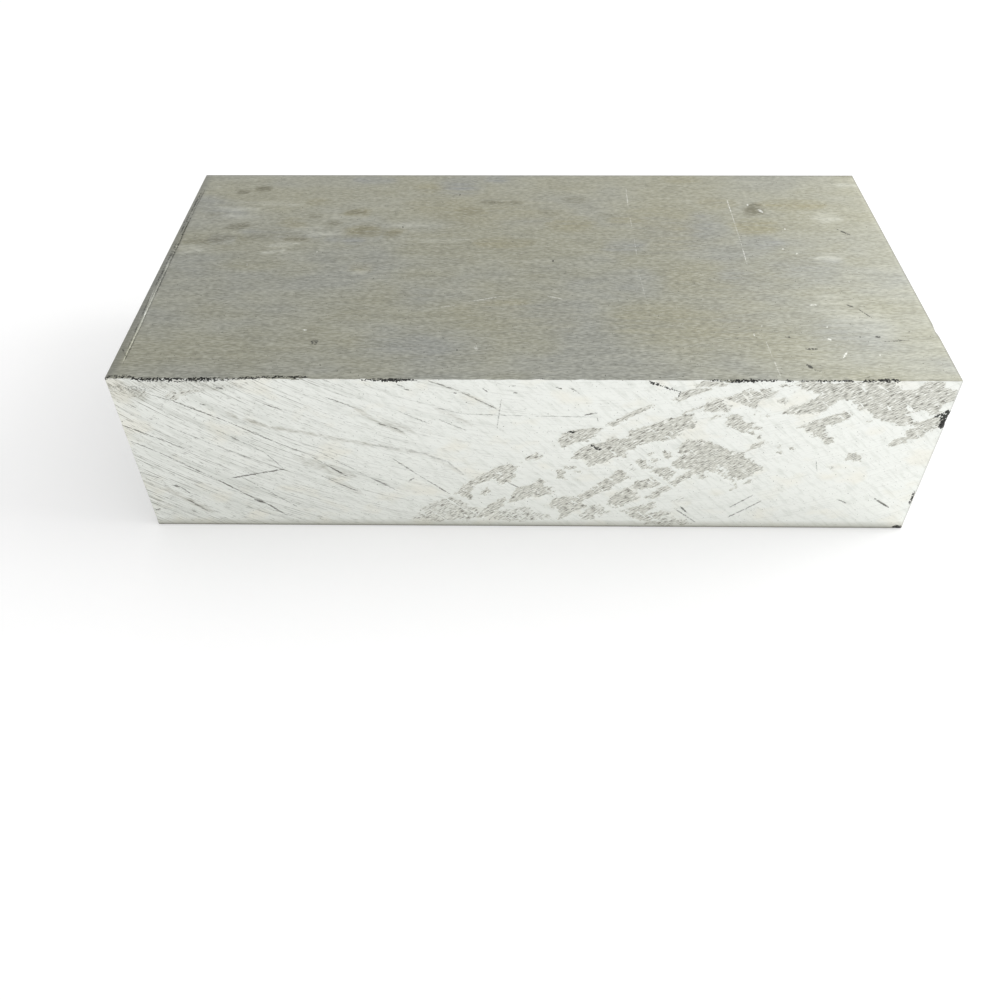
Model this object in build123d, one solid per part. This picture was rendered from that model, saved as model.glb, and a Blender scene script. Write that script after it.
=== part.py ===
# A block of aluminium plate: rolled to 2 inches thick, then sawn to length and width on four sides.
# The upper and lower faces are as rolled. The arrises are broken, and some are bruised from handling.
# Frame: +X along the length, +Z up through the thickness, -Y out of the sawn face at the front.
# The origin is the middle of the lower face, which the block lies on. All lengths are in millimetres.
import os
from math import hypot

from build123d import *

# Block: thickness as rolled, length and width as sawn
plate_length = 205.5
plate_width = 106.0
plate_thickness = 50.8

# Arrises: the saw's burr is rubbed off, so that every edge has a small round
arris_radius = 0.3

# Score: a shallow V that the blade's side left on the upper face, along the left end and slightly askew to it
score_width = 0.6
score_depth = 0.3
score_front_inset = 2.8
score_back_inset = 1.4
score_front_margin = 6.0
score_back_margin = 12.0

# Bruises along the upper arris of the front face, from the left end to the right end
front_bruise_place_shares = (0.051, 0.08, 0.111, 0.148, 0.226, 0.332, 0.738, 0.848, 0.891, 0.917)
front_bruise_lengths = (7.8, 3.4, 6.8, 7.0, 5.0, 12.7, 12.7, 4.8, 3.2, 3.8)
front_bruise_depths = (0.45, 0.35, 0.45, 0.35, 0.25, 0.3, 0.5, 0.35, 0.3, 0.35)

# Bruises up the arris between the front face and the right end, from the bottom up
corner_bruise_place_shares = (0.23, 0.76)
corner_bruise_lengths = (4.5, 6.5)
corner_bruise_depths = (0.25, 0.35)

# Nicks in the upper arris of each end, from the front to the back
right_nick_place_shares = (0.182, 0.2, 0.233)
right_nick_lengths = (2.0, 1.3, 1.2)
right_nick_depths = (0.5, 0.4, 0.45)
left_nick_place_shares = (0.203,)
left_nick_lengths = (1.0,)
left_nick_depths = (0.4,)

# How far a cutter runs past the metal that it removes
overrun = 1.0

left_end = -plate_length / 2
right_end = plate_length / 2
front_face = -plate_width / 2
back_face = plate_width / 2


def rolled_and_sawn_block():
    """The block with every arris broken by the same small round."""
    block = Box(plate_length, plate_width, plate_thickness, align=(Align.CENTER, Align.CENTER, Align.MIN))
    return fillet(block.edges(), arris_radius)


def score_cutter():
    """A long V prism, point down, sunk in the upper face."""
    front_point = Vector(left_end + score_front_inset, front_face + score_front_margin, plate_thickness)
    back_point = Vector(left_end + score_back_inset, back_face - score_back_margin, plate_thickness)
    along = back_point - front_point
    section_plane = Plane(front_point, x_dir=along.cross(Vector(0, 0, 1)), z_dir=along)
    # The V keeps its slope where it runs on above the face, so the groove's width at the face is score_width
    mouth_half_width = score_width / 2 * (score_depth + overrun) / score_depth
    down = -1 if section_plane.y_dir.Z > 0 else 1
    section = section_plane * make_face(
        Polyline(
            (-mouth_half_width, -down * overrun),
            (mouth_half_width, -down * overrun),
            (0, down * score_depth),
            close=True,
        )
    )
    return extrude(section, along.length)


def bruise_cutter(on_arris, arris_direction, outward, length, depth):
    """A round bar lying across an arris, which leaves a scallop of the given length and depth in it."""
    bar_radius = ((length / 2) ** 2 + depth**2) / (2 * depth)
    bar_axis = arris_direction.cross(outward)
    bar_length = 2 * (hypot(depth, depth) + overrun)
    bar_centre = on_arris + outward * (bar_radius - depth)
    bar_plane = Plane(bar_centre, x_dir=arris_direction, z_dir=bar_axis)
    return bar_plane * Cylinder(bar_radius, bar_length)


def bruise_cutters(start, end, outward, place_shares, lengths, depths):
    """One cutter for each bruise on the arris from start to end; a place is a share of that way."""
    arris = end - start
    for place_share, length, depth in zip(place_shares, lengths, depths):
        yield bruise_cutter(start + arris * place_share, arris.normalized(), outward.normalized(), length, depth)


# The corners where the bruised arrises start and end
upper_front_left = Vector(left_end, front_face, plate_thickness)
upper_front_right = Vector(right_end, front_face, plate_thickness)
upper_back_left = Vector(left_end, back_face, plate_thickness)
upper_back_right = Vector(right_end, back_face, plate_thickness)
lower_front_right = Vector(right_end, front_face, 0)

front_bruises = bruise_cutters(
    upper_front_left,
    upper_front_right,
    Vector(0, -1, 1),
    front_bruise_place_shares,
    front_bruise_lengths,
    front_bruise_depths,
)
corner_bruises = bruise_cutters(
    lower_front_right,
    upper_front_right,
    Vector(1, -1, 0),
    corner_bruise_place_shares,
    corner_bruise_lengths,
    corner_bruise_depths,
)
right_nicks = bruise_cutters(
    upper_front_right,
    upper_back_right,
    Vector(1, 0, 1),
    right_nick_place_shares,
    right_nick_lengths,
    right_nick_depths,
)
left_nicks = bruise_cutters(
    upper_front_left,
    upper_back_left,
    Vector(-1, 0, 1),
    left_nick_place_shares,
    left_nick_lengths,
    left_nick_depths,
)

plate = rolled_and_sawn_block() - [score_cutter(), *front_bruises, *corner_bruises, *right_nicks, *left_nicks]

os.makedirs("parts", exist_ok=True)
export_step(plate, "parts/plate.step")
print("plate volume", round(plate.volume), "mm3, box", plate.bounding_box().size)
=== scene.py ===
from math import cos, radians, sin, sqrt

import bmesh
import bpy
import numpy as np
from mathutils import Matrix, Vector, noise


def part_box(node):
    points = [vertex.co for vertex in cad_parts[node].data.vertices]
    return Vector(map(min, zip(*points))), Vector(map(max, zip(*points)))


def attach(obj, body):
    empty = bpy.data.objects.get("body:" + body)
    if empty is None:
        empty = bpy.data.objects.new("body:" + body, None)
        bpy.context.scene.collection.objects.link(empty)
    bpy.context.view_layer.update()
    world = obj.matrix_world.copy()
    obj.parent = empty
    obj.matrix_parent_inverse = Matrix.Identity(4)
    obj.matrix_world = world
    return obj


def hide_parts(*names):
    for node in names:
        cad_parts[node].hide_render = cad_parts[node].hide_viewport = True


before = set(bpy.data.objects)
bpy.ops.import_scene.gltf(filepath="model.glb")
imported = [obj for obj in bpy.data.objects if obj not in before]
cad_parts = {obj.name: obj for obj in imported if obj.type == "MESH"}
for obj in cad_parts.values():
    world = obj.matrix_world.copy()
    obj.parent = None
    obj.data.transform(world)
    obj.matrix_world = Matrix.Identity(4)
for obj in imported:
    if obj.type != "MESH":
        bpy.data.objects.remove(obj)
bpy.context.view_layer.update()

# Viewpoint: a camera held about 14 cm above the block and 18 cm in front of it, looking down at half a
# right angle. Its place was solved from the corners of the block, so that a pixel of the photo can be
# laid on a face.
mm = 0.001
photo_width_px = 1000
focal_length_px = 950.2
sensor_width_mm = 36
camera_place = Vector((-4.4, -234.5, 190.5)) * mm
camera_pitch = radians(44.80)
camera_yaw = radians(-1.053)
camera_roll = radians(0.445)

sight_line = Vector((
    sin(camera_yaw) * cos(camera_pitch),
    cos(camera_yaw) * cos(camera_pitch),
    -sin(camera_pitch),
))
level_right = Vector((cos(camera_yaw), -sin(camera_yaw), 0))
level_down = sight_line.cross(level_right)
photo_right = cos(camera_roll) * level_right + sin(camera_roll) * level_down
photo_down = cos(camera_roll) * level_down - sin(camera_roll) * level_right

bpy.ops.object.select_all(action="DESELECT")
bpy.ops.object.camera_add()
camera = bpy.context.object
camera.name = "photo_camera"
camera.data.sensor_width = sensor_width_mm
camera.data.lens = sensor_width_mm * focal_length_px / photo_width_px
camera.data.clip_start = 1 * mm
camera_axes = Matrix((photo_right, -photo_down, -sight_line)).transposed()
camera.matrix_world = Matrix.Translation(camera_place) @ camera_axes.to_4x4()
bpy.context.scene.camera = camera


def laid_on(pixel, axis, level):
    """The point of the plane where the axis (0 to 2) has that level, seen at a pixel of the photo."""
    across = (pixel[0] - photo_width_px / 2) / focal_length_px
    below = (pixel[1] - photo_width_px / 2) / focal_length_px
    ray = photo_right * across + photo_down * below + sight_line
    return camera_place + ray * ((level - camera_place[axis]) / ray[axis])


# The block: a slab of aluminium rolled to thickness and sawn on four sides. Its mesh is a bevelled box,
# cut into cells of about 2.6 mm, with half of that on the upper face and a quarter on the sawn face at
# the front.
low, high = (Vector(corner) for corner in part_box("plate"))
size = high - low
arris_radius = 0.3 * mm
cell = 2.6 * mm
upper_cuts = 1
front_cuts = 3
hair = 0.01 * mm

bpy.ops.object.select_all(action="DESELECT")
bpy.ops.mesh.primitive_cube_add(size=1, location=(low + high) / 2)
sawn_plate = bpy.context.object
sawn_plate.name = "sawn_plate"
sawn_plate.scale = size
bpy.ops.object.transform_apply(location=True, rotation=True, scale=True)
bpy.ops.object.mode_set(mode="EDIT")
bpy.ops.mesh.select_all(action="SELECT")
bpy.ops.mesh.bevel(offset=arris_radius, segments=2, affect="EDGES")
bpy.context.tool_settings.mesh_select_mode = (False, True, False)


def select_edges(wanted):
    """Selects just the edges that wanted picks; it is given the two ends of every edge."""
    bpy.ops.mesh.select_all(action="DESELECT")
    drawn = bmesh.from_edit_mesh(sawn_plate.data)
    ends = np.array([[end.co for end in edge.verts] for edge in drawn.edges])
    for edge, chosen in zip(drawn.edges, wanted(ends[:, 0], ends[:, 1]).tolist()):
        edge.select = chosen
    drawn.select_flush_mode()
    bmesh.update_edit_mesh(sawn_plate.data)


for axis in range(3):
    select_edges(lambda one, other: np.abs(one - other)[:, axis] > cell / 2)
    bpy.ops.mesh.subdivide(number_cuts=round(size[axis] / cell) - 1)


def on_upper(one, other):
    """True for the cell edges of the upper face, apart from those at the front."""
    nearest = np.minimum(one, other)
    on_top = (nearest[:, 2] > high.z - hair) & (nearest[:, 1] > low.y + 2 * arris_radius)
    return on_top & (np.abs(one - other).max(axis=1) > cell / 2)


def on_front(one, other):
    """True for the cell edges of the front face and of the arrises round it."""
    at_front = np.maximum(one, other)[:, 1] < low.y + arris_radius + hair
    return at_front & (np.abs(one - other).max(axis=1) > cell / 2)


select_edges(on_upper)
bpy.ops.mesh.subdivide(number_cuts=upper_cuts)
select_edges(on_front)
bpy.ops.mesh.subdivide(number_cuts=front_cuts)

# Score: a shallow V that the blade's side left on the upper face, along the left end and slightly askew
# to it. The upper face is cut along both rims and the bottom of the V, and the bottom is pressed in.
score_width = 0.6 * mm
score_depth = 0.3 * mm
score_front = Vector((low.x + 2.8 * mm, low.y + 6 * mm, high.z))
score_back = Vector((low.x + 1.4 * mm, high.y - 12 * mm, high.z))
score_reach = 6 * mm
level_normal = 0.99

score_along = (score_back - score_front).normalized()
score_across = score_along.cross(Vector((0, 0, 1)))
score_length = (score_back - score_front).length


def select_beside_score():
    """Selects the faces of the upper side near the left end."""
    bpy.ops.mesh.select_all(action="DESELECT")
    bpy.context.tool_settings.mesh_select_mode = (False, False, True)
    drawn = bmesh.from_edit_mesh(sawn_plate.data)
    for face in drawn.faces:
        middle = face.calc_center_median()
        face.select = face.normal.z > level_normal and middle.x < low.x + score_reach
    drawn.select_flush_mode()
    bmesh.update_edit_mesh(sawn_plate.data)


for rim in (-1, 0, 1):
    select_beside_score()
    rim_point = score_front + score_across * (rim * score_width / 2)
    bpy.ops.mesh.bisect(plane_co=rim_point, plane_no=score_across)
for end in (score_front, score_back):
    select_beside_score()
    bpy.ops.mesh.bisect(plane_co=end, plane_no=score_along)
bpy.context.tool_settings.mesh_select_mode = (True, False, False)
bpy.ops.mesh.select_all(action="DESELECT")
drawn = bmesh.from_edit_mesh(sawn_plate.data)
for point in drawn.verts:
    from_front = point.co - score_front
    on_line = abs(from_front.dot(score_across)) < hair and abs(from_front.z) < hair
    point.select = on_line and hair < from_front.dot(score_along) < score_length - hair
drawn.select_flush_mode()
bmesh.update_edit_mesh(sawn_plate.data)
bpy.ops.transform.translate(value=(0, 0, -score_depth))

# Torn metal: where the saw dragged, chips welded to its teeth pulled strips out of the front face. The
# patches run up to the right and end in steps. A row is how much of a patch is torn, and its outline in
# pixels of the photo. The mesh is made finer in the patches and round them.
torn_patches = (
    (0.6, (165, 397), (169, 391), (176, 394), (182, 389), (190, 389), (197, 392), (185, 396),
     (175, 400)),
    (0.5, (131, 390), (142, 388), (146, 395), (140, 400), (131, 396)),
    (0.58, (409, 520), (421, 508), (435, 501), (450, 498), (466, 503), (475, 509), (478, 517),
     (466, 521), (430, 521)),
    (1.0, (478, 518), (481, 511), (487, 506), (502, 498), (507, 503), (499, 511), (487, 517)),
    (0.56, (490, 520), (496, 512), (510, 508), (522, 508), (535, 511), (548, 514), (551, 518),
     (533, 520), (510, 521)),
    (0.95, (453, 495), (460, 488), (466, 483), (478, 477), (490, 471), (499, 466), (510, 465),
     (516, 468), (512, 473), (516, 477), (510, 482), (499, 486), (493, 480), (481, 483), (472, 488),
     (468, 492), (473, 500), (463, 498)),
    (0.95, (479, 495), (481, 491), (486, 488), (492, 492), (484, 496)),
    (0.9, (508, 497), (515, 489), (527, 486), (538, 480), (547, 486), (556, 490), (550, 495),
     (533, 497), (522, 500), (510, 503)),
    (0.95, (527, 457), (535, 453), (542, 458), (533, 461), (522, 462), (515, 466)),
    (1.0, (557, 441), (563, 436), (566, 432), (576, 430), (592, 429), (602, 430), (594, 436),
     (588, 443), (577, 443), (572, 446), (559, 449)),
    (0.9, (602, 427), (609, 423), (616, 420), (632, 412), (646, 407), (654, 407), (645, 411),
     (626, 420), (610, 428)),
    (1.0, (572, 457), (577, 450), (588, 445), (604, 443), (610, 438), (617, 437), (622, 440),
     (626, 439), (630, 434), (630, 430), (648, 426), (662, 421), (680, 416), (692, 415), (701, 417),
     (694, 418), (693, 421), (699, 425), (697, 428), (690, 428), (682, 432), (681, 436), (675, 436),
     (674, 440), (659, 440), (638, 445), (635, 449), (627, 450), (626, 454), (630, 456), (616, 457),
     (607, 462), (596, 464), (591, 467), (583, 462)),
    (0.8, (680, 415), (689, 410), (700, 407), (699, 410), (683, 415)),
    (0.7, (670, 401), (678, 394), (687, 391), (696, 389), (709, 388), (714, 390), (705, 392),
     (694, 396), (687, 400), (677, 403)),
    (0.7, (690, 388), (701, 382), (727, 383), (727, 386), (716, 387), (704, 388)),
    (0.9, (700, 407), (707, 403), (715, 400), (721, 400), (727, 404), (735, 408), (732, 410),
     (726, 410), (723, 412), (716, 412), (704, 411)),
    (0.9, (715, 415), (720, 414), (726, 415), (723, 417), (715, 418)),
    (1.0, (725, 418), (732, 416), (742, 417), (744, 421), (753, 423), (753, 427), (760, 429),
     (761, 431), (748, 430), (744, 434), (738, 431), (732, 430), (738, 428), (732, 426), (724, 425)),
    (0.9, (746, 434), (751, 432), (753, 435), (748, 436)),
    (0.85, (723, 400), (730, 397), (738, 395), (744, 391), (755, 389), (763, 388), (770, 389),
     (778, 391), (776, 395), (768, 399), (759, 401), (756, 405), (755, 409), (750, 410), (744, 406),
     (737, 403), (730, 402)),
    (0.8, (754, 412), (763, 412), (757, 414)),
    (0.8, (764, 415), (772, 416), (768, 418)),
    (0.9, (742, 452), (748, 450), (755, 444), (763, 440), (770, 441), (765, 444), (755, 449),
     (744, 453)),
    (0.6, (752, 440), (757, 437), (761, 438), (755, 440)),
    (1.0, (670, 466), (677, 459), (682, 456), (679, 449), (681, 444), (689, 440), (707, 440),
     (718, 446), (727, 451), (741, 452), (745, 457), (752, 461), (758, 464), (762, 471), (753, 473),
     (751, 477), (738, 481), (733, 479), (723, 467), (717, 467), (732, 481), (738, 487), (714, 472),
     (703, 472), (706, 479), (700, 480), (699, 476), (694, 475), (685, 480), (673, 488), (668, 484),
     (677, 479), (682, 475), (690, 470), (681, 471), (674, 469)),
    (0.8, (741, 484), (757, 477), (757, 479), (745, 485)),
    (0.7, (727, 491), (735, 487), (735, 489), (729, 492)),
    (1.0, (650, 473), (657, 468), (668, 468), (669, 472), (675, 473), (670, 479), (665, 482),
     (657, 477)),
    (0.75, (631, 462), (638, 460), (646, 461), (654, 467), (652, 469), (643, 469), (638, 465)),
    (0.45, (625, 468), (630, 464), (640, 469), (632, 471)),
    (0.85, (642, 455), (651, 454), (652, 456), (647, 458)),
    (0.85, (652, 459), (657, 458), (660, 460), (655, 463)),
    (0.75, (658, 451), (670, 451), (675, 456), (670, 458), (663, 454)),
    (0.85, (553, 470), (557, 470), (563, 472), (564, 476), (568, 479), (555, 478)),
    (0.65, (561, 468), (566, 466), (575, 468), (571, 470), (564, 471)),
    (0.7, (575, 471), (583, 470), (582, 472), (577, 472)),
    (0.72, (550, 505), (552, 500), (566, 496), (577, 497), (589, 490), (599, 483), (607, 477),
     (612, 476), (615, 470), (620, 470), (628, 473), (631, 479), (622, 481), (615, 485), (612, 489),
     (594, 496), (583, 500), (582, 505), (586, 507), (570, 514), (562, 519), (557, 520), (560, 512),
     (556, 508)),
    (0.76, (605, 503), (609, 497), (622, 489), (632, 485), (632, 481), (642, 481), (651, 476),
     (651, 481), (659, 482), (660, 485), (648, 489), (638, 490), (635, 495), (641, 496), (635, 500),
     (616, 509), (609, 507)),
    (0.76, (642, 498), (648, 496), (657, 489), (666, 485), (672, 489), (660, 494), (660, 497),
     (651, 499)),
    (0.74, (619, 511), (632, 507), (644, 506), (653, 502), (657, 507), (648, 511), (642, 515),
     (659, 512), (670, 513), (669, 515), (648, 521), (638, 521), (628, 515)),
    (1.0, (628, 516), (632, 513), (640, 516), (635, 519)),
    (0.6, (577, 515), (588, 508), (596, 505), (607, 510), (609, 513), (601, 516), (590, 521),
     (583, 519)),
    (0.56, (638, 524), (655, 520), (670, 516), (681, 518), (692, 524), (670, 526)),
    (0.45, (670, 502), (681, 495), (685, 498), (677, 503)),
    (0.88, (789, 384), (800, 382), (823, 382), (857, 382), (898, 382), (900, 389), (912, 391),
     (922, 386), (924, 382), (945, 382), (946, 390), (956, 390), (957, 396), (952, 402), (944, 404),
     (941, 409), (945, 413), (938, 416), (928, 412), (914, 412), (905, 415), (912, 419), (921, 423),
     (914, 425), (897, 424), (885, 420), (873, 420), (873, 414), (864, 410), (856, 411), (857, 405),
     (853, 401), (838, 401), (832, 405), (826, 411), (812, 415), (801, 416), (788, 415), (782, 416),
     (783, 413), (789, 408), (800, 405), (809, 402), (815, 398), (820, 394), (812, 390), (803, 390),
     (797, 387)),
    (0.6, (777, 386), (783, 383), (800, 382), (804, 386), (790, 387)),
    (0.95, (872, 416), (885, 419), (900, 422), (921, 421), (940, 416), (946, 420), (941, 426),
     (921, 426), (897, 425), (880, 421)),
    (0.8, (777, 401), (784, 398), (790, 402), (787, 404)),
    (0.85, (799, 427), (810, 423), (819, 419), (837, 414), (848, 411), (852, 414), (850, 418),
     (844, 421), (835, 424), (833, 426), (823, 426), (825, 433), (829, 434), (827, 437), (833, 440),
     (833, 443), (827, 445), (820, 445), (822, 440), (818, 437), (810, 437), (812, 434), (804, 430)),
    (0.8, (865, 422), (870, 421), (868, 423)),
    (0.8, (879, 429), (883, 430), (880, 431)),
    (0.9, (906, 432), (913, 427), (924, 426), (934, 426), (938, 423), (941, 425), (933, 430),
     (926, 434), (925, 437), (908, 440), (907, 443), (898, 444), (888, 448), (887, 445), (896, 439),
     (906, 437)),
    (0.85, (845, 461), (849, 452), (857, 454), (865, 455), (861, 458), (862, 462), (852, 461)),
    (0.5, (825, 465), (832, 467), (836, 468), (830, 470)),
    (0.8, (775, 448), (781, 445), (780, 449)),
    (0.8, (787, 450), (790, 447), (795, 449)),
    (0.7, (776, 452), (784, 450), (781, 454)),
)
strip_slope = radians(33)
strip_along = np.array((cos(strip_slope), sin(strip_slope)))
strip_across = np.array((-sin(strip_slope), cos(strip_slope)))
strip_widths = (1.3 * mm, 0.45 * mm)
strip_shifts = (0.6 * mm, 0.45 * mm)
step_length = 0.9 * mm
step_shift = 0.34 * mm
torn_depth = 0.16 * mm
torn_grain = 0.05 * mm
torn_edge = 0.22 * mm
fine_margin = 1.2 * mm
fine_cell = cell / (front_cuts + 1)
seed = 11


def depth_inside(points, outline):
    """How far points lie inside an outline, and negative outside it."""
    nearest = np.full(len(points), np.inf)
    inside = np.zeros(len(points), bool)
    for (ax, az), (bx, bz) in zip(outline, outline[1:] + outline[:1]):
        edge = np.array((bx - ax, bz - az))
        from_a = points - (ax, az)
        share = np.clip(from_a @ edge / (edge @ edge), 0, 1)
        nearest = np.minimum(nearest, np.hypot(*(from_a - share[:, None] * edge).T))
        if az != bz:
            crossing = ax + (points[:, 1] - az) / (bz - az) * (bx - ax)
            inside ^= ((az > points[:, 1]) != (bz > points[:, 1])) & (points[:, 0] < crossing)
    return np.where(inside, nearest, -nearest)


def torn_at(points):
    """How far points lie inside the nearest torn patch, and how much of that patch is torn."""
    deepest = np.full(len(points), -np.inf)
    tone = np.zeros(len(points))
    for patch_tone, *pixels in torn_patches:
        corners = [laid_on(pixel, 1, low.y) for pixel in pixels]
        inside = depth_inside(points, [(corner.x, corner.z) for corner in corners])
        tone = np.where(inside > deepest, patch_tone, tone)
        deepest = np.maximum(deepest, inside)
    return deepest, tone


def near_torn(one, other):
    """True for the cell edges of the front face in the torn patches and round them."""
    at_front = np.maximum(one, other)[:, 1] < low.y + hair
    wanted = at_front & (np.abs(one - other).max(axis=1) > fine_cell / 2)
    edge_middles = (one + other)[wanted][:, [0, 2]] / 2
    wanted[wanted] = torn_at(edge_middles)[0] > -fine_margin
    return wanted


bpy.context.tool_settings.mesh_select_mode = (False, True, False)
select_edges(near_torn)
bpy.ops.mesh.subdivide(number_cuts=1)
bpy.ops.object.mode_set(mode="OBJECT")
mesh = sawn_plate.data
places = np.empty(3 * len(mesh.vertices))
mesh.vertices.foreach_get("co", places)
places = places.reshape(-1, 3)
dice = np.random.default_rng(seed)

front = np.flatnonzero(places[:, 1] < low.y + hair)
front_places = places[front][:, [0, 2]]
down_strip = front_places @ strip_along
over_strips = front_places @ strip_across
strip_places = front_places.copy()
for strip_width, strip_shift in zip(strip_widths, strip_shifts):
    strip_number = np.floor(over_strips / strip_width).astype(int)
    strip_number -= strip_number.min()
    shifts = dice.uniform(-strip_shift, strip_shift, strip_number.max() + 1)
    strip_places += shifts[strip_number, None] * strip_along
torn_inside, torn_tone = torn_at(strip_places)
step_number = np.floor(down_strip / step_length).astype(int)
step_number -= step_number.min()
step_shifts = dice.uniform(-step_shift, step_shift, (step_number.max() + 1, strip_number.max() + 1))
torn_inside += step_shifts[step_number, strip_number]
torn_share = np.clip(0.5 + torn_inside / torn_edge / 2, 0, 1)
torn_floor = torn_depth + dice.normal(0, torn_grain, len(front))
places[front, 1] += np.maximum(torn_share * torn_tone * torn_floor, 0)

# Bruises: knocks that flattened the arrises, along the top of the front face, up the front right corner
# and on the upper edges of both ends. Each is a shallow scallop of a length and depth, at a share of
# the arris's length. The lip is the unbruised front arris, from which the burr grows.
bruise_grain = 0.05 * mm
under_arris = high.z - arris_radius + hair
behind_arris = low.y + arris_radius - hair
lip = np.flatnonzero((places[:, 2] > under_arris) & (places[:, 1] < behind_arris))


def bruise(start, end, outward, rows):
    """Presses in the arris from start to end; a row is a share of its length, a length and a depth."""
    arris = Vector(end) - Vector(start)
    outward = np.array(Vector(outward).normalized())
    from_start = places - np.array(start)
    stands_out = from_start @ outward
    down_arris = from_start @ np.array(arris.normalized())
    rough = dice.uniform(-bruise_grain, bruise_grain, len(places))
    for share, length, depth in rows:
        radius = ((length / 2) ** 2 + depth**2) / (2 * depth)
        from_middle = down_arris - share * arris.length
        within = np.abs(from_middle) < length / 2
        floor = radius - depth - np.sqrt(np.maximum(radius**2 - from_middle**2, 0)) + rough
        too_far = within & (stands_out > floor)
        places[too_far] += outward * (floor - stands_out)[too_far, None]
        stands_out = (places - np.array(start)) @ outward


upper_front_left = (low.x, low.y, high.z)
upper_front_right = (high.x, low.y, high.z)
bruise(
    upper_front_left,
    upper_front_right,
    (0, -1, 1),
    (
        (0.051, 7.8 * mm, 0.45 * mm),
        (0.08, 3.4 * mm, 0.35 * mm),
        (0.111, 6.8 * mm, 0.45 * mm),
        (0.148, 7.0 * mm, 0.35 * mm),
        (0.226, 5.0 * mm, 0.25 * mm),
        (0.332, 12.7 * mm, 0.3 * mm),
        (0.738, 12.7 * mm, 0.5 * mm),
        (0.848, 4.8 * mm, 0.35 * mm),
        (0.891, 3.2 * mm, 0.3 * mm),
        (0.917, 3.8 * mm, 0.35 * mm),
    ),
)
bruise(
    (high.x, low.y, low.z),
    upper_front_right,
    (1, -1, 0),
    ((0.23, 4.5 * mm, 0.25 * mm), (0.76, 6.5 * mm, 0.35 * mm)),
)
bruise(
    upper_front_right,
    (high.x, high.y, high.z),
    (1, 0, 1),
    ((0.182, 2.0 * mm, 0.5 * mm), (0.2, 1.3 * mm, 0.4 * mm), (0.233, 1.2 * mm, 0.45 * mm)),
)
bruise(upper_front_left, (low.x, high.y, high.z), (-1, 0, 1), ((0.203, 1.0 * mm, 0.4 * mm),))

# Burr: here and there the saw pushed a thin lip of bright metal up over the front arris. The block's
# points are then set, with how torn each is, and only its arrises and steps stay sharp.
burr_length = 3.5 * mm
burr_height = 0.4 * mm
smooth_angle = radians(40)
for point in lip:
    swell = noise.noise((places[point, 0] / burr_length, 0, 0))
    places[point, 2] += burr_height * max(swell, 0)

mesh.vertices.foreach_set("co", places.ravel())
mesh.update()
for name, values in (("torn", torn_share), ("torn_tone", torn_tone)):
    spread = np.zeros(len(places))
    spread[front] = values
    mesh.attributes.new(name, "FLOAT", "POINT").data.foreach_set("value", spread)
bpy.ops.object.select_all(action="DESELECT")
sawn_plate.select_set(True)
bpy.context.view_layer.objects.active = sawn_plate
bpy.ops.object.shade_smooth_by_angle(angle=smooth_angle)

# Sawn sides: each gets its own flat coordinates in millimetres, across the side and up it, and a layer
# of its own, so that one finish can follow the blade round the four sides.
side_gap = 100
side_margin = 1 * mm
facing = 0.7
facing_front = 0.5
faces = len(mesh.polygons)
normals = np.empty(3 * faces)
mesh.polygons.foreach_get("normal", normals)
normals = normals.reshape(-1, 3)
middles = np.empty(3 * faces)
mesh.polygons.foreach_get("center", middles)
middles = middles.reshape(-1, 3)
inward = np.minimum(middles - np.array(low), np.array(high) - middles)[:, :2].min(axis=1)
rolled = (np.abs(normals[:, 2]) > facing) | (inward > side_margin)
side = np.select(
    (normals[:, 1] < -facing_front, normals[:, 0] > facing, normals[:, 1] > facing),
    (0, 1, 2),
    3,
)
corner_counts = np.empty(faces, int)
mesh.polygons.foreach_get("loop_total", corner_counts)
corner_points = np.empty(len(mesh.loops), int)
mesh.loops.foreach_get("vertex_index", corner_points)
corner_x, corner_y, corner_z = places[corner_points].T / mm
corner_side = np.repeat(side, corner_counts)
across_side = np.choose(corner_side, (corner_x, corner_y, -corner_x, -corner_y))
sawn_place = np.column_stack((across_side, corner_z, corner_side * side_gap))
mesh.attributes.new("sawn_place", "FLOAT_VECTOR", "CORNER").data.foreach_set("vector", sawn_place.ravel())
mesh.polygons.foreach_set("material_index", np.where(rolled, 0, 1))

# Mill finish: aluminium plate as it leaves the rolls, dulled by oxide, with a fine grain along its length.
# Water has stained it yellow, blue, dark and pale, and handling has left specks and light scratches. A
# stroke is a width, a strength and pixels of the photo.
yellow_stains = (
    (14, 0.5, (283, 223), (304, 223)),
    (10, 0.45, (310, 202), (326, 202)),
    (12, 0.6, (350, 214), (368, 213)),
    (10, 0.45, (286, 239), (308, 239)),
    (18, 0.7, (352, 231), (378, 231)),
    (14, 0.6, (384, 233), (398, 233)),
    (14, 0.35, (352, 268), (370, 268)),
    (12, 0.4, (418, 188), (442, 188)),
    (16, 0.55, (458, 211), (484, 212)),
    (14, 0.45, (478, 243), (530, 243)),
    (20, 0.5, (552, 224), (590, 224)),
    (14, 0.45, (612, 220), (642, 220)),
    (11, 0.35, (482, 303), (524, 303)),
    (14, 0.6, (758, 205), (820, 205)),
    (20, 0.6, (738, 227), (772, 227)),
    (14, 0.4, (674, 230), (698, 230)),
    (11, 0.4, (668, 180), (694, 180)),
    (14, 0.4, (702, 203), (733, 203)),
    (62, 0.28, (630, 325), (745, 325)),
    (60, 0.3, (640, 215), (690, 240)),
    (42, 0.25, (420, 205), (560, 215)),
    (56, 0.18, (470, 310), (560, 320)),
    (60, 0.18, (680, 275), (760, 290)),
)
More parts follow.
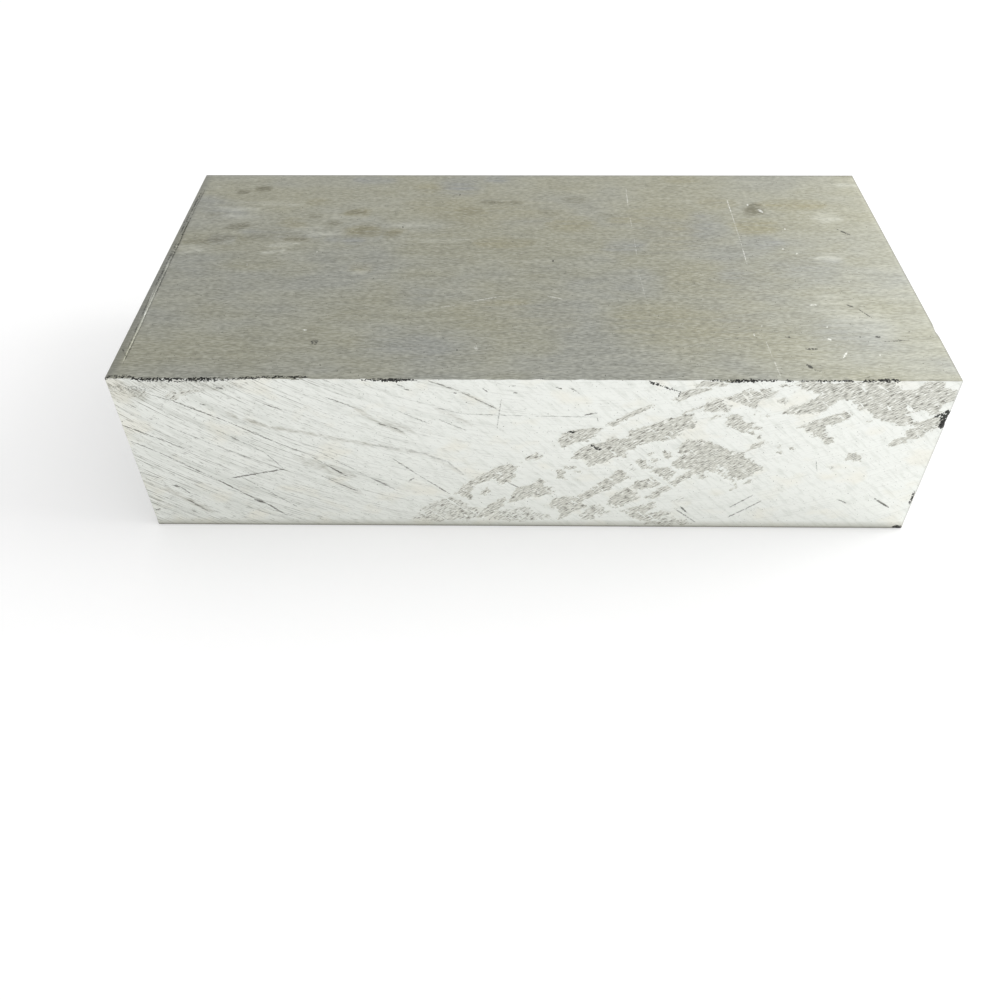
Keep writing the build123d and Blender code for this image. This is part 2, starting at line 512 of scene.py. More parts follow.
blue_stains = (
    (26, 0.6, (446, 186), (476, 186)),
    (9, 0.5, (488, 179), (504, 180)),
    (12, 0.4, (360, 179), (392, 181)),
    (11, 0.4, (345, 241), (361, 241)),
    (12, 0.35, (324, 239), (338, 239)),
    (36, 0.22, (405, 297), (430, 297)),
    (20, 0.4, (610, 247), (640, 247)),
    (34, 0.4, (696, 226), (714, 226)),
    (20, 0.4, (745, 243), (778, 243)),
    (20, 0.35, (722, 276), (750, 276)),
    (42, 0.22, (632, 280), (650, 285)),
    (28, 0.25, (740, 280), (770, 280)),
    (22, 0.35, (205, 200), (235, 212)),
    (12, 0.55, (212, 239), (232, 239)),
    (20, 0.3, (250, 232), (310, 236)),
    (56, 0.22, (380, 345), (470, 350)),
    (36, 0.3, (780, 270), (830, 262)),
    (60, 0.28, (820, 330), (880, 340)),
)
dark_stains = (
    (8, 1.0, (257, 189), (269, 189)),
    (7, 0.9, (238, 192), (248, 192)),
    (9, 0.8, (228, 227), (247, 226)),
    (6, 0.5, (212, 214), (222, 214)),
    (9, 0.7, (211, 239), (231, 238)),
    (9, 0.5, (186, 242), (208, 243)),
    (12, 0.35, (236, 238), (275, 235)),
    (6, 0.7, (328, 223), (340, 223)),
    (7, 0.6, (352, 213), (366, 213)),
    (12, 0.45, (356, 230), (376, 233)),
    (10, 0.4, (384, 233), (396, 234)),
    (5, 0.55, (310, 216), (320, 216)),
    (10, 0.4, (290, 224), (300, 222)),
    (6, 0.5, (286, 239), (306, 239)),
    (12, 0.4, (462, 212), (480, 211)),
    (7, 0.55, (480, 202), (500, 202)),
    (6, 0.5, (506, 204), (520, 203)),
    (16, 0.9, (751, 209), (757, 211)),
    (11, 0.4, (565, 200), (585, 200)),
    (10, 0.3, (540, 212), (560, 214)),
    (9, 0.3, (596, 216), (616, 214)),
    (17, 0.2, (436, 215), (470, 225)),
)
pale_stains = (
    (6, 0.4, (180, 247), (200, 246)),
    (7, 0.45, (222, 242), (232, 242)),
    (4, 0.55, (181, 253), (204, 250)),
    (4, 0.65, (262, 252), (282, 251)),
    (4, 0.45, (282, 253), (301, 253)),
    (6, 0.38, (218, 208), (262, 208)),
    (6, 0.38, (226, 216), (262, 217)),
    (5, 0.35, (240, 203), (300, 205)),
    (5, 0.45, (290, 229), (318, 228)),
    (5, 0.5, (306, 233), (340, 234)),
    (5, 0.4, (336, 217), (384, 218)),
    (5, 0.5, (270, 246), (300, 243)),
    (5, 0.35, (390, 224), (440, 226)),
    (5, 0.35, (400, 240), (470, 240)),
    (2.4, 0.4, (352, 272), (364, 272)),
    (14, 0.4, (815, 218), (840, 218)),
    (10, 0.5, (818, 257), (842, 257)),
    (11, 0.4, (838, 185), (856, 185)),
    (40, 0.25, (830, 300), (880, 330)),
)
nicks_and_score_highlight = (
    (2, 0.9, (747, 205), (748, 205)),
    (2.5, 0.9, (759, 210), (762, 212)),
    (1.8, 0.9, (785, 229)),
    (1.6, 0.8, (783, 249)),
    (2.2, 1, (796, 254), (798, 254)),
    (1.8, 0.9, (849, 282)),
    (2.2, 0.8, (810, 305), (816, 305)),
    (1.8, 0.8, (762, 326)),
    (1.8, 0.8, (827, 327)),
    (2.2, 0.8, (828, 339), (831, 340)),
    (2.4, 1, (847, 352), (844, 357)),
    (1.6, 0.8, (880, 355)),
    (3, 0.6, (754, 335)),
    (1.8, 0.9, (303, 330), (306, 330)),
    (3, 0.4, (247, 265)),
    (6, 0.45, (476, 348)),
    (1.8, 0.9, (317, 252)),
    (1.2, 0.6, (626, 189), (628, 206)),
    (1.2, 0.5, (630, 218), (632, 227)),
    (1.2, 0.45, (634, 238), (637, 256)),
    (1.1, 0.3, (639, 273), (646, 300)),
    (1.2, 0.7, (727, 200), (731, 212)),
    (1.1, 0.45, (731, 212), (741, 243)),
    (1.2, 0.6, (741, 243), (747, 264)),
    (1.2, 0.45, (765, 339), (781, 377)),
    (1.2, 0.45, (441, 307), (455, 305)),
    (1.2, 0.4, (467, 302), (504, 296)),
    (1.3, 0.5, (547, 296), (562, 299)),
    # These three strokes run along the score: a painted highlight in the V.
    (1.3, 0.45, (154, 290), (148, 305), (142, 322)),
    (1.2, 0.35, (133, 340), (128, 352)),
    (1.1, 0.3, (170, 258), (164, 270)),
)
nicks_and_score_shade = (
    (6, 0.9, (313, 342), (316, 342)),
    (2, 1, (320, 365)),
    (2, 0.9, (553, 261)),
    (1.8, 0.8, (460, 195)),
    (1.8, 0.8, (403, 227)),
    (1.8, 0.7, (457, 350)),
    (2, 0.8, (786, 337), (790, 337)),
    (2, 0.9, (806, 349), (817, 349)),
    (3, 0.9, (807, 365), (812, 368)),
    (2, 0.8, (815, 370), (820, 371)),
    (1.8, 0.7, (860, 337)),
    (2.4, 0.7, (876, 337), (880, 337)),
    (1.6, 0.7, (836, 229), (850, 235)),
    (1.5, 0.7, (847, 305), (853, 307)),
    (1.2, 0.6, (858, 309), (872, 318)),
    (1.3, 0.4, (880, 342), (910, 340)),
    # The strokes from here run along the score: painted shade on the walls of the V, which also dims the
    # lamp's glint in it.
    (1.8, 0.42, (201, 193), (190, 214), (180, 234)),
    (1.4, 0.35, (205, 190), (196, 207), (184, 232), (172, 256)),
    (2.2, 0.4, (176, 244), (166, 265), (156, 285)),
    (1.6, 0.35, (150, 297), (140, 320), (128, 348)),
    (2.8, 0.45, (187, 225), (168, 266)),
    (2.6, 0.4, (168, 266), (154, 297)),
    (2.6, 0.35, (141, 325), (123, 364)),
    (2.5, 0.4, (123, 350), (126, 356)),
    (1.2, 0.6, (181, 222), (188, 222)),
)
# Dark strokes along the front arris: partly grime, partly painted shade of the burr and of the dents in the
# arris.
arris_grime_and_shade = (
    (4, 0.9, (102, 378.5), (106, 378.5)),
    (6, 0.3, (106, 377), (134, 377)),
    (3.4, 2.4, (131, 378.8), (162, 379)),
    (2.8, 2.2, (163, 378.8), (181, 378.8)),
    (3.6, 2.2, (187, 378.8), (209, 378.8)),
    (7, 0.34, (138, 380), (214, 380)),
    (5, 0.4, (207, 379), (236, 378.5)),
    (3, 0.5, (236, 378), (262, 378)),
    (3, 0.6, (262, 377), (284, 377)),
    (3, 0.8, (288, 377), (308, 377)),
    (2.4, 3, (362, 380), (416, 380)),
    (3.6, 7, (376, 380), (404, 380)),
    (2.4, 4, (711, 380.5), (764, 380.5)),
    (4.2, 7, (730, 380.8), (757, 380.8)),
    (2.2, 0.8, (765, 380.5), (778, 380.5)),
    (2.4, 0.9, (786, 381), (793, 381)),
    (2.0, 0.6, (800, 381), (816, 381)),
    (2.4, 1.2, (816, 381), (842, 381)),
    (2.4, 1.0, (842, 381), (854, 381)),
    (4, 0.6, (862, 381), (876, 381)),
    (5, 0.6, (880, 380.5), (900, 381)),
)


def linear(hex_code):
    """A colour written as sRGB hex, as the linear colour that a shader takes."""
    shares = (int(hex_code[place : place + 2], 16) / 255 for place in (1, 3, 5))
    return *(s / 12.92 if s <= 0.04045 else ((s + 0.055) / 1.055) ** 2.4 for s in shares), 1


def add_node(tree, kind, inputs=None, out=0, **settings):
    """Adds a shader node, sets it, feeds its inputs with values or outputs, and returns an output."""
    node = tree.nodes.new("ShaderNode" + kind)
    for name, value in settings.items():
        setattr(node, name, value)
    for name, value in (inputs or {}).items():
        if isinstance(value, bpy.types.NodeSocket):
            tree.links.new(value, node.inputs[name])
        else:
            node.inputs[name].default_value = value
    return node.outputs[out]


def new_finish(name):
    """A new finish on the block: its node tree and its shader."""
    finish = bpy.data.materials.new(name)
    finish.use_nodes = True
    mesh.materials.append(finish)
    return finish.node_tree, finish.node_tree.nodes["Principled BSDF"]


def ovals_on(face, strokes):
    """Lays strokes on a face as ovals: two foci, the reach at the rim and a strength, in mm."""
    axis, level = {"upper": (2, high.z), "front": (1, low.y)}[face]
    for width, strength, *pixels in strokes:
        for start, end in zip(pixels, pixels[1:] or pixels):
            start, end = Vector(start), Vector(end)
            run = (end - start).normalized() if end != start else Vector((1, 0))
            middle = laid_on((start + end) / 2, axis, level) / mm
            edge = laid_on((start + end) / 2 + run.orthogonal() * width / 2, axis, level) / mm
            tip = laid_on(end + run * width / 2, axis, level) / mm
            shorter, longer = sorted((edge - middle, tip - middle), key=lambda half: half.length)
            spread = longer * sqrt(1 - (shorter.length / longer.length) ** 2)
            foci = (middle - spread, middle + spread)
            if face == "front":
                foci = [Vector((focus.x, focus.z, 0)) for focus in foci]
            yield *foci, longer.length * 2, strength


def spread_marks(name, points, marked_places, ovals):
    """Keeps how strongly ovals mark some points as an attribute, given their places in mm."""
    strongest = np.zeros(len(points))
    for one_focus, other_focus, rim, strength in ovals:
        both = np.linalg.norm(marked_places - np.array(one_focus), axis=1)
        both += np.linalg.norm(marked_places - np.array(other_focus), axis=1)
        fade = rim - (one_focus - other_focus).length
        strongest = np.maximum(strongest, strength * (rim - both) / fade)
    spread = np.zeros(len(places))
    spread[points] = strongest
    mesh.attributes.new(name, "FLOAT", "POINT").data.foreach_set("value", spread)


def oval_marks(tree, place, ovals):
    """How strongly the strongest of many ovals marks a place: nothing at its rim, its strength inside."""
    strongest = 0.0
    for one_focus, other_focus, rim, strength in ovals:
        from_one = add_node(tree, "VectorMath", {0: place, 1: one_focus}, "Value", operation="DISTANCE")
        from_other = add_node(tree, "VectorMath", {0: place, 1: other_focus}, "Value", operation="DISTANCE")
        both = add_node(tree, "Math", {0: from_one, 1: from_other}, operation="ADD")
        gain = strength / (rim - (one_focus - other_focus).length)
        shown = add_node(tree, "Math", {0: both, 1: -gain, 2: rim * gain}, operation="MULTIPLY_ADD")
        strongest = add_node(tree, "Math", {0: strongest, 1: shown}, operation="MAXIMUM")
    return strongest


drift_cell = Vector((6, 2.6, 1))
drift_reach = Vector((1.8, 0.8, 0))
fray_reach = (1.6, 1.6, 0)
half_grey = (0.5, 0.5, 0.5)
grain_depth = 0.03 * mm
noise.seed_set(seed)
upper = np.flatnonzero(places[:, 2] > high.z - 2 * arris_radius)
stained_places = []
for point in places[upper] / mm:
    drift = noise.noise_vector([way / step for way, step in zip(point, drift_cell)])
    stained_places.append(Vector(point) + drift * drift_reach)
stained_places = np.array(stained_places)
spread_marks("yellow_stain", upper, stained_places, ovals_on("upper", yellow_stains))
spread_marks("blue_stain", upper, stained_places, ovals_on("upper", blue_stains))
spread_marks("dark_stain", upper, stained_places, ovals_on("upper", dark_stains))
spread_marks("pale_stain", upper, stained_places, ovals_on("upper", pale_stains))

tree, shader = new_finish("mill_finish_aluminium")
place = add_node(tree, "TexCoord", out="Object")
place = add_node(tree, "VectorMath", {0: place, "Scale": 1 / mm}, operation="SCALE")
pattern = {}
for name, cell_mm, detail in (
    ("grain", (1.5, 0.4, 1.0), 2),
    ("bands", (13, 1.6, 1), 3),
    ("clouds", (30, 16, 1), 2),
    ("grit", (0.55, 0.55, 0.55), 1),
    ("fray", (0.5, 0.5, 0.5), 2),
):
    stretched = add_node(tree, "Mapping", {"Vector": place, "Scale": cell_mm}, vector_type="TEXTURE")
    pattern[name] = add_node(tree, "TexNoise", {"Vector": stretched, "Scale": 1, "Detail": detail})
frayed = pattern["fray"].node.outputs["Color"]
frayed = add_node(tree, "VectorMath", {0: frayed, 1: half_grey}, operation="SUBTRACT")
frayed = add_node(tree, "VectorMath", {0: frayed, 1: fray_reach, 2: place}, operation="MULTIPLY_ADD")
patchy = add_node(tree, "MapRange", {
    "Value": pattern["bands"], "From Min": 0.32, "From Max": 0.62, "To Min": 0.35, "To Max": 1.2,
})
stain = {}
for name in ("yellow", "blue", "dark", "pale"):
    stain[name] = add_node(tree, "Attribute", out="Fac", attribute_name=name + "_stain")
    stain[name] = add_node(tree, "Math", {0: stain[name], 1: patchy}, operation="MULTIPLY")
speckle = add_node(tree, "MapRange", {
    "Value": pattern["fray"], "From Min": 0.36, "From Max": 0.58, "To Max": 1.5,
})
mark = {}
for name, marked, strokes in (
    ("dark", place, nicks_and_score_shade),
    ("bright", place, nicks_and_score_highlight),
    ("grime_and_shade", frayed, arris_grime_and_shade),
):
    mark[name] = oval_marks(tree, marked, ovals_on("upper", strokes))
    mark[name] = add_node(tree, "Math", {0: mark[name], 1: speckle}, operation="MULTIPLY")
across = add_node(tree, "SeparateXYZ", {0: place}, "X")
rearward = across.node.outputs["Y"]
back_edge = high.y / mm
right_edge = high.x / mm
left_edge = low.x / mm
colour = linear("#a8a89b")
for value, start, end, strength, hex_code in (
    (pattern["clouds"], 0.48, 0.62, 0.4, "#a3a087"),
    (pattern["clouds"], 0.48, 0.36, 0.35, "#9b9e9f"),
    (pattern["bands"], 0.5, 0.68, 0.35, "#bbbbae"),
    (pattern["bands"], 0.5, 0.34, 0.3, "#8f8f84"),
    # painted sheen: the upper face is a little lighter towards the back
    (rearward, 4, 30, 0.2, "#c0bda4"),
    (stain["yellow"], 0, 0.9, 1, "#a29c7d"),
    (stain["blue"], 0, 1, 1, "#969a9f"),
    (stain["dark"], 0.05, 0.8, 0.9, "#7d7a66"),
    (stain["pale"], 0, 0.9, 1, "#d3d4c9"),
    (pattern["grain"], 0.5, 0.36, 0.34, "#6d6e65"),
    (pattern["grain"], 0.52, 0.66, 0.34, "#d2d3c8"),
    (pattern["grit"], 0.29, 0.23, 0.6, "#4d4d47"),
    (rearward, back_edge - 0.9, back_edge - 0.2, 0.6, "#5f5f57"),
    (across, right_edge - 0.7, right_edge - 0.2, 0.5, "#6f6f66"),
    (across, left_edge + 3.0, left_edge + 1.2, 0.42, "#797a77"),
    # dark nicks, and painted shade along the score
    (mark["dark"], 0.05, 0.6, 0.85, "#3a3a37"),
    # light nicks and scratches, and a painted highlight along the score
    (mark["bright"], 0.1, 0.9, 0.8, "#f1f2ec"),
    # along the front arris: grime with painted shade of the burr and dents
    (mark["grime_and_shade"], 0.2, 0.4, 0.95, "#232322"),
):
    share = add_node(tree, "MapRange", {
        "Value": value, "From Min": start, "From Max": end, "To Max": strength,
    })
    colour = add_node(tree, "Mix", {0: share, 6: colour, 7: linear(hex_code)}, 2, data_type="RGBA")
tree.links.new(colour, shader.inputs["Base Color"])
shader.inputs["Metallic"].default_value = 1
roughness = add_node(tree, "MapRange", {
    "Value": pattern["grain"], "From Min": 0.35, "From Max": 0.65, "To Min": 0.36, "To Max": 0.46,
})
tree.links.new(roughness, shader.inputs["Roughness"])
raised = add_node(tree, "Bump", {"Height": pattern["grain"], "Strength": 0.15, "Distance": grain_depth})
tree.links.new(raised, shader.inputs["Normal"])

# Saw cut: clean aluminium smeared bright by the blade, so that it is nearly white, with arcs of dark
# scratches about the blade's centre, grey where strips tore out, grime in the deeper marks, and along
# the arris grime with painted shade of the burr and the dents.
blade_radius = 200
blade_centre = (17, 183, 0)
cross_slope = radians(-43)
waver_reach = (0.6, 0.6, 0)
scratched_end = -103
relief_depth = 0.05 * mm
dark_scratches = (
    (1.3, 0.5, (151, 395), (173, 401)),
    (1.4, 0.75, (173, 401), (228, 422), (280, 444)),
    (1.2, 0.5, (280, 444), (307, 454), (332, 468)),
    (1.8, 0.8, (330, 467), (347, 476)),
    (1.3, 0.7, (122, 425), (149, 435), (193, 452)),
    (1.3, 0.65, (130, 441), (158, 452)),
    (1.2, 0.55, (158, 452), (216, 479)),
    (1.5, 0.7, (216, 479), (240, 491), (258, 500)),
    (3.2, 0.7, (255, 499), (265, 503)),
    (1.6, 0.7, (266, 503), (287, 515)),
    (1.2, 0.4, (167, 426), (212, 444), (260, 462)),
    (1.2, 0.45, (216, 430), (264, 452), (283, 468)),
    (1.5, 0.9, (232, 478), (260, 473), (285, 469)),
    (1.2, 0.4, (315, 450), (367, 476), (398, 491)),
    (1.2, 0.4, (244, 478), (298, 507)),
    (1.5, 0.6, (172, 485), (181, 487), (190, 493)),
    (2.0, 0.45, (188, 500), (209, 511)),
    (1.2, 0.5, (139, 472), (159, 478)),
    (1.4, 0.5, (128, 404), (136, 408)),
    (1.4, 0.5, (264, 404), (282, 410)),
    (1.5, 0.6, (325, 397), (355, 408)),
    (1.2, 0.5, (371, 478), (388, 485)),
    (2.4, 0.26, (373, 445), (400, 449), (425, 454), (448, 462), (463, 474)),
    (1.4, 0.5, (376, 423), (392, 427), (405, 433)),
    (1.3, 0.4, (440, 420), (452, 425), (466, 430)),
    (1.3, 0.4, (400, 412), (430, 424)),
    (1.5, 0.55, (429, 381), (459, 391), (497, 409)),
    (1.3, 0.32, (433, 407), (464, 414), (530, 416), (600, 417)),
    (1.6, 0.35, (501, 401), (497, 428)),
    (1.3, 0.5, (507, 482), (522, 489)),
    (1.3, 0.45, (390, 457), (420, 476), (450, 494)),
    (1.6, 0.5, (409, 481), (414, 478)),
    (1.2, 0.6, (430, 482), (450, 494)),
    (2.2, 0.8, (875, 499), (888, 507)),
    (1.6, 0.6, (837, 499), (846, 503)),
    (1.2, 0.5, (816, 461), (817, 471)),
    (1.4, 0.6, (728, 517), (745, 509), (761, 501)),
    (1.3, 0.5, (730, 507), (753, 495)),
    (1.2, 0.5, (604, 444), (616, 446)),
    (1.5, 0.8, (585, 415), (597, 413)),
    (1.8, 0.7, (454, 393), (456, 393)),
    (1.8, 0.7, (513, 386), (515, 386)),
    (1.8, 0.6, (514, 393), (517, 393)),
    (1.6, 0.4, (570, 388), (576, 391)),
    (1.2, 0.6, (597, 418), (598, 421)),
    (1.6, 0.6, (556, 387), (561, 389)),
    (2.0, 0.8, (681, 507), (686, 512)),
    (1.6, 0.5, (675, 509), (695, 522)),
    (2.2, 0.7, (216, 387), (223, 389)),
    (1.6, 0.6, (156, 510), (160, 509)),
    (1.4, 0.6, (200, 404), (205, 405)),
    (1.6, 0.5, (398, 385), (404, 387)),
    (1.5, 0.5, (404, 389), (412, 391)),
    (1.5, 0.5, (483, 389), (488, 392)),
    (1.4, 0.5, (322, 476), (340, 484)),
    (1.4, 0.5, (340, 484), (358, 491)),
)
brown_smears = (
    (5, 0.5, (228, 413), (236, 417)),
    (4.5, 0.6, (243, 419), (269, 427), (294, 431)),
    (4, 0.5, (294, 431), (322, 436), (349, 441), (373, 445)),
    (4, 0.25, (373, 445), (429, 455), (462, 474)),
    (7, 0.45, (168, 489), (184, 498), (211, 511)),
    (7, 0.28, (330, 478), (360, 493)),
    (5, 0.45, (355, 408), (375, 421), (405, 434)),
    (4, 0.25, (429, 381), (459, 391), (497, 409)),
    (6, 0.3, (437, 409), (470, 424)),
    (6, 0.3, (384, 421), (412, 431)),
    (12, 0.3, (300, 460), (350, 475)),
    (26, 0.34, (106, 388), (138, 394)),
    (16, 0.26, (140, 384), (236, 386)),
)
white_scratches = (
    (4, 1.5, (648, 473), (667, 484), (688, 498)),
    (5, 1.5, (605, 506), (636, 523)),
    (4, 1.5, (722, 399), (756, 412)),
    (3, 1.2, (631, 462), (641, 469)),
    (3, 1.2, (838, 402), (852, 416)),
)
black_grime = (
    (17, 0.2, (106, 388), (142, 389)),
    (13, 0.17, (140, 386), (236, 386)),
    (2.6, 1.2, (569, 432), (575, 432)),
    (2.2, 1.2, (591, 446), (601, 450)),
    (3.0, 0.7, (650, 382), (660, 385)),
    (1.8, 0.6, (660, 385), (681, 392), (679, 396)),
    (8.5, 4, (947, 414), (944.5, 420)),
    (6, 3, (944.5, 420), (942, 426)),
    (2.2, 1.0, (936, 417), (943, 414)),
    (3.0, 0.7, (914, 493), (910, 503)),
    (4.0, 3, (894, 527), (901, 527.5)),
    (2.5, 0.6, (628, 527), (640, 527)),
)

smeared_places = np.column_stack((front_places / mm, np.zeros(len(front))))
spread_marks("smear", front, smeared_places, ovals_on("front", brown_smears))

tree, shader = new_finish("saw_cut_aluminium")
place = add_node(tree, "Attribute", out="Vector", attribute_name="sawn_place")
pulled = add_node(tree, "Attribute", out="Fac", attribute_name="torn")
tone = add_node(tree, "Attribute", out="Fac", attribute_name="torn_tone")
smeared = add_node(tree, "Attribute", out="Fac", attribute_name="smear")
from_blade = add_node(tree, "VectorMath", {0: place, 1: blade_centre}, operation="SUBTRACT")
blade_x = add_node(tree, "SeparateXYZ", {0: from_blade}, "X")
blade_z = blade_x.node.outputs["Y"]
side_number = blade_x.node.outputs["Z"]
turned = add_node(tree, "Math", {0: blade_z, 1: blade_x}, operation="ARCTAN2")
along_arc = add_node(tree, "Math", {0: turned, 1: blade_radius}, operation="MULTIPLY")
flat = add_node(tree, "VectorMath", {0: from_blade, 1: (1, 1, 0)}, operation="MULTIPLY")
away = add_node(tree, "VectorMath", {0: flat}, "Value", operation="LENGTH")
arcs = add_node(tree, "CombineXYZ", {"X": along_arc, "Y": away, "Z": side_number})
stripwise, crossed = (
    add_node(tree, "Mapping", {"Vector": place, "Rotation": (0, 0, slope)}, vector_type="TEXTURE")
    for slope in (strip_slope, cross_slope)
)
pattern = {}
for name, followed, cell_mm, detail in (
    ("hairlines", arcs, (30, 0.3, 10), 1),
    ("dashes", arcs, (2.4, 0.3, 10), 2),
    ("streaks", arcs, (12, 0.7, 10), 3),
    ("smears", arcs, (34, 2.6, 10), 2),
    ("ridges", stripwise, (1.6, 0.27, 10), 4),
    ("mottle", crossed, (4.5, 1.1, 10), 3),
    ("cross_lines", crossed, (9, 0.4, 10), 1),
    ("flecks", crossed, (1.5, 0.45, 10), 2),
    ("tints", place, (12, 8, 10), 2),
    ("grit", place, (0.5, 0.5, 10), 1),
    ("fray", place, (0.5, 0.5, 10), 2),
):
    stretched = add_node(tree, "Mapping", {"Vector": followed, "Scale": cell_mm}, vector_type="TEXTURE")
    pattern[name] = add_node(tree, "TexNoise", {"Vector": stretched, "Scale": 1, "Detail": detail})
frayed = pattern["fray"].node.outputs["Color"]
frayed = add_node(tree, "VectorMath", {0: frayed, 1: half_grey}, operation="SUBTRACT")
wavering = add_node(tree, "VectorMath", {0: frayed, 1: waver_reach, 2: place}, operation="MULTIPLY_ADD")
frayed = add_node(tree, "VectorMath", {0: frayed, 1: fray_reach, 2: place}, operation="MULTIPLY_ADD")
speckle = add_node(tree, "MapRange", {
    "Value": pattern["fray"], "From Min": 0.36, "From Max": 0.58, "To Max": 1.5,
})
broken = add_node(tree, "MapRange", {
    "Value": pattern["dashes"], "From Min": 0.36, "From Max": 0.6, "To Min": 0.2, "To Max": 1.2,
})
scratched = oval_marks(tree, wavering, ovals_on("front", dark_scratches))
scratched = add_node(tree, "Math", {0: scratched, 1: broken}, operation="MULTIPLY")
grime_and_shade = oval_marks(tree, frayed, ovals_on("front", arris_grime_and_shade))
black = oval_marks(tree, frayed, ovals_on("front", black_grime))
grime_and_shade = add_node(tree, "Math", {0: grime_and_shade, 1: black}, operation="MAXIMUM")
grime_and_shade = add_node(tree, "Math", {0: grime_and_shade, 1: speckle}, operation="MULTIPLY")
smeared = add_node(tree, "Math", {0: smeared, 1: broken}, operation="MULTIPLY")
across = add_node(tree, "SeparateXYZ", {0: place}, "X")
height = across.node.outputs["Y"]
leftness = add_node(tree, "MapRange", {
    "Value": across, "From Min": scratched_end, "From Max": 0, "To Min": 0.85, "To Max": 0.12,
})
lined = add_node(tree, "Math", {0: leftness, 1: 0.6}, operation="MULTIPLY")
hatched = add_node(tree, "Math", {0: leftness, 1: broken}, operation="MULTIPLY")
edge = add_node(tree, "MapRange", {
    "Value": pattern["ridges"], "From Min": 0.3, "From Max": 0.7, "To Min": -0.3, "To Max": 0.3,
})
edge = add_node(tree, "Math", {0: pulled, 1: edge}, operation="ADD")
edge = add_node(tree, "MapRange", {"Value": edge, "From Min": 0.42, "From Max": 0.58})
flaked = add_node(tree, "MapRange", {
    "Value": pattern["mottle"], "From Min": 0.6, "From Max": 0.68, "To Max": 0.6,
})
enough = add_node(tree, "Math", {0: tone, 1: flaked}, operation="SUBTRACT")
enough = add_node(tree, "Math", {0: enough, 1: pattern["ridges"]}, operation="SUBTRACT")
enough = add_node(tree, "MapRange", {"Value": enough, "From Min": -0.05, "From Max": 0.15})
torn = add_node(tree, "Math", {0: edge, 1: enough}, operation="MULTIPLY")
wiped = oval_marks(tree, wavering, ovals_on("front", white_scratches))
torn = add_node(tree, "Math", {0: torn, 1: wiped}, operation="SUBTRACT", use_clamp=True)
colour = linear("#edefea")
for value, start, end, strength, hex_code in (
    (across, 20, scratched_end, 0.55, "#dcded8"),
    (pattern["mottle"], 0.5, 0.3, 0.5, "#d3d6cf"),
    (pattern["smears"], 0.5, 0.68, lined, "#c5c8c1"),
    (pattern["tints"], 0.54, 0.68, 0.26, "#ebe4d0"),
    (side_number, 0, side_gap, 0.85, "#c2c4be"),
    (pattern["streaks"], 0.55, 0.72, lined, "#a9aaa3"),
    (pattern["cross_lines"], 0.6, 0.74, 0.24, "#c0c3bd"),
    (pattern["flecks"], 0.68, 0.76, 0.6, "#9d9d96"),
    (pattern["hairlines"], 0.60, 0.68, hatched, "#7e7d75"),
    (pattern["dashes"], 0.60, 0.70, leftness, "#84837b"),
    (pattern["grit"], 0.29, 0.23, 0.75, "#6c6a63"),
    (torn, 0, 1, 1, "#dadad2"),
    (pattern["ridges"], 0.49, 0.32, torn, "#6a685f"),
    (pattern["ridges"], 0.56, 0.66, torn, "#fbfcf8"),
    (across, right_edge - 0.6, right_edge - 0.2, 0.45, "#9b9b96"),
    # darker towards the bottom: a smooth band along the lower arris, with painted shade of the block's
    # contact shadow reflected in it
    (height, 2.8, 0.8, 0.55, "#a5a496"),
    (height, 0.8, 0.3, 0.7, "#67655b"),
    (smeared, 0, 1, 0.9, "#87826f"),
    (scratched, 0.02, 0.6, 0.9, "#4f4d47"),
    # grime in the deeper marks, and along the arris grime with painted shade of the burr and dents
    (grime_and_shade, 0.2, 0.4, 0.95, "#232322"),
):
    share = add_node(tree, "MapRange", {
        "Value": value, "From Min": start, "From Max": end, "To Max": strength,
    })
    colour = add_node(tree, "Mix", {0: share, 6: colour, 7: linear(hex_code)}, 2, data_type="RGBA")
tree.links.new(colour, shader.inputs["Base Color"])
shader.inputs["Metallic"].default_value = 1
roughness = add_node(tree, "MapRange", {"Value": torn, "To Min": 0.34, "To Max": 0.6})
tree.links.new(roughness, shader.inputs["Roughness"])
relief = add_node(tree, "Math", {0: pattern["ridges"], 1: pulled}, operation="MULTIPLY")
relief = add_node(tree, "Math", {0: pattern["streaks"], 1: 0.3, 2: relief}, operation="MULTIPLY_ADD")
raised = add_node(tree, "Bump", {"Height": relief, "Strength": 0.4, "Distance": relief_depth})
tree.links.new(raised, shader.inputs["Normal"])

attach(sawn_plate, "root")
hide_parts("plate")

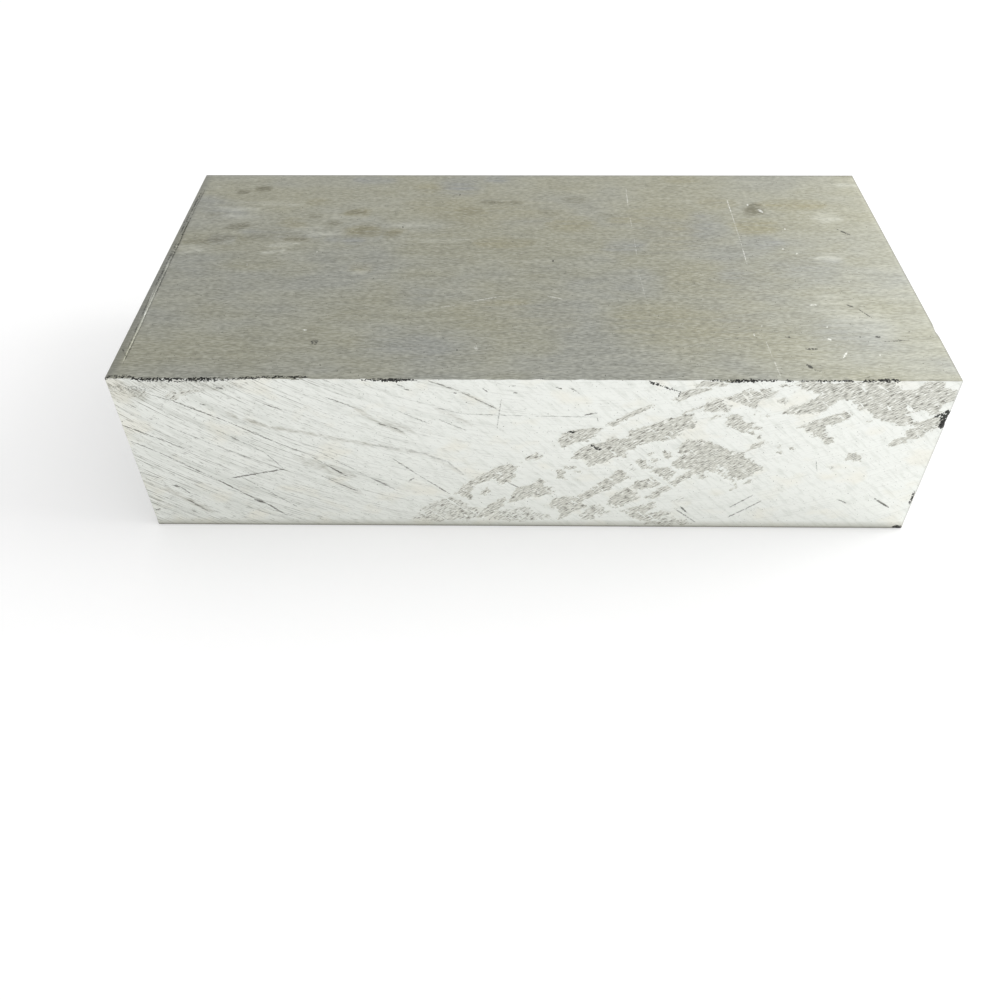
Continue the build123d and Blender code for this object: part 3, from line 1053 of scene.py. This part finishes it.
# Floor: a plain white table, on which the block lies. It glows a little to the eye and in reflections,
# so that it stays white, and it keeps the block's shadow.
floor_size = 6
floor_glow = 0.16
glow_strength = 1.5
paper_roughness = 0.9
bpy.ops.object.select_all(action="DESELECT")
bpy.ops.mesh.primitive_plane_add(size=floor_size)
table = bpy.context.object
table.name = "white_table"
white = bpy.data.materials.new("white_paper")
white.use_nodes = True
tree = white.node_tree
shader = tree.nodes["Principled BSDF"]
shader.inputs["Base Color"].default_value = linear("#f8f8f8")
shader.inputs["Roughness"].default_value = paper_roughness
shader.inputs["Specular IOR Level"].default_value = 0.0
seen = add_node(tree, "LightPath", out="Is Camera Ray")
mirrored = seen.node.outputs["Is Glossy Ray"]
seen = add_node(tree, "Math", {0: seen, 1: mirrored}, operation="MAXIMUM")
glow = add_node(tree, "Math", {0: seen, 1: floor_glow}, operation="MULTIPLY")
white_glow = add_node(tree, "Emission", {"Color": linear("#ffffff"), "Strength": glow_strength})
surface = add_node(tree, "MixShader", {0: glow, 1: shader.outputs[0], 2: white_glow})
tree.links.new(surface, tree.nodes["Material Output"].inputs["Surface"])
table.data.materials.append(white)

# Light: a white room, brighter on the right, with two large soft lamps: one to the right, which gives
# the shadow, and one behind, which gives the sheen at the right end of the upper face.
lamp_size = 0.8
room_left = 0.62
room_right = 1.12
room = bpy.data.worlds.new("white_room")
room.use_nodes = True
bpy.context.scene.world = room
tree = room.node_tree
direction = add_node(tree, "TexCoord", out="Generated")
rightness = add_node(tree, "SeparateXYZ", {0: direction}, "X")
background = tree.nodes["Background"]
background.inputs["Color"].default_value = (1, 1, 1, 1)
strength = add_node(tree, "MapRange", {
    "Value": rightness, "From Min": -1, "From Max": 1, "To Min": room_left, "To Max": room_right,
})
tree.links.new(strength, background.inputs["Strength"])
for name, lamp_place, power in (
    ("right_lamp", (1.05, 0.1, 0.65), 6),
    ("back_lamp", (0.75, 0.8, 0.7), 1.6),
):
    bpy.ops.object.light_add(type="AREA", location=lamp_place)
    lamp = bpy.context.object
    lamp.name = name
    lamp.data.shape = "DISK"
    lamp.data.size = lamp_size
    lamp.data.energy = power
    lamp.rotation_euler = (-lamp.location).to_track_quat("-Z", "Y").to_euler()

bpy.context.scene.view_settings.view_transform = "Standard"
